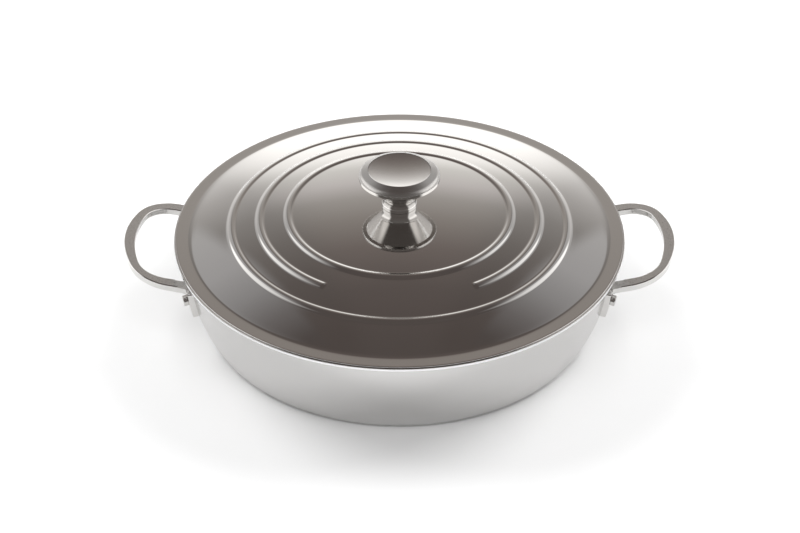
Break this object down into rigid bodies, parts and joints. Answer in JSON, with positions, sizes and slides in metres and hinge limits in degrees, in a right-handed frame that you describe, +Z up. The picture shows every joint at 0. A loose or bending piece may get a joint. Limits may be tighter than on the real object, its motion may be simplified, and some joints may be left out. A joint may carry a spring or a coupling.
{
  "type": "braiser",
  "caption": "Low round clad stainless braiser with two loop handles and a domed, ribbed lid that lifts off by a turned knob.",
  "frame": {"origin": "centre of the pan's flat underside, where it stands", "axes": "+Z up along the axis of the pan and lid, +X through the right-hand handle, -Y the front, where the lid's middle rib is interrupted"},
  "size_m": [0.3874, 0.316, 0.1173],
  "materials": {
    "outer_steel": "polished outside of the bowl, fine circular polish under the base",
    "core_aluminium": "seen only as a line in the cut edge of the lip",
    "inner_steel": "satin, fine circular brushing",
    "cast_handle": "cast stainless steel, satin top face and polished sides",
    "rivet_steel": "polished",
    "lid_steel": "mirror polished stainless steel",
    "knob_steel": "turned and finely polished",
    "fastener_steel": "plain bright stainless steel"
  },
  "bodies": {
    "pan": {"pan_outer_skin": "outer_steel", "pan_aluminium_core": "core_aluminium", "pan_inner_skin": "inner_steel", "handle_right": "cast_handle", "handle_left": "cast_handle", "rivet_right_front": "rivet_steel", "rivet_right_back": "rivet_steel", "rivet_left_front": "rivet_steel", "rivet_left_back": "rivet_steel"},
    "lid": {"lid_shell": "lid_steel", "lid_locating_hoop": "inner_steel", "knob_base_ring": "knob_steel", "knob_stem": "knob_steel", "knob_cap": "knob_steel", "knob_top_disc": "knob_steel", "knob_threaded_insert": "fastener_steel", "knob_flat_washer": "fastener_steel", "knob_lock_washer": "fastener_steel", "knob_screw": "fastener_steel"}
  },
  "joints": [
    {"name": "lid_lift", "type": "slide", "parent": "pan", "child": "lid", "axis": [0, 0, 1], "range_m": [0, 0.15]}
  ]
}
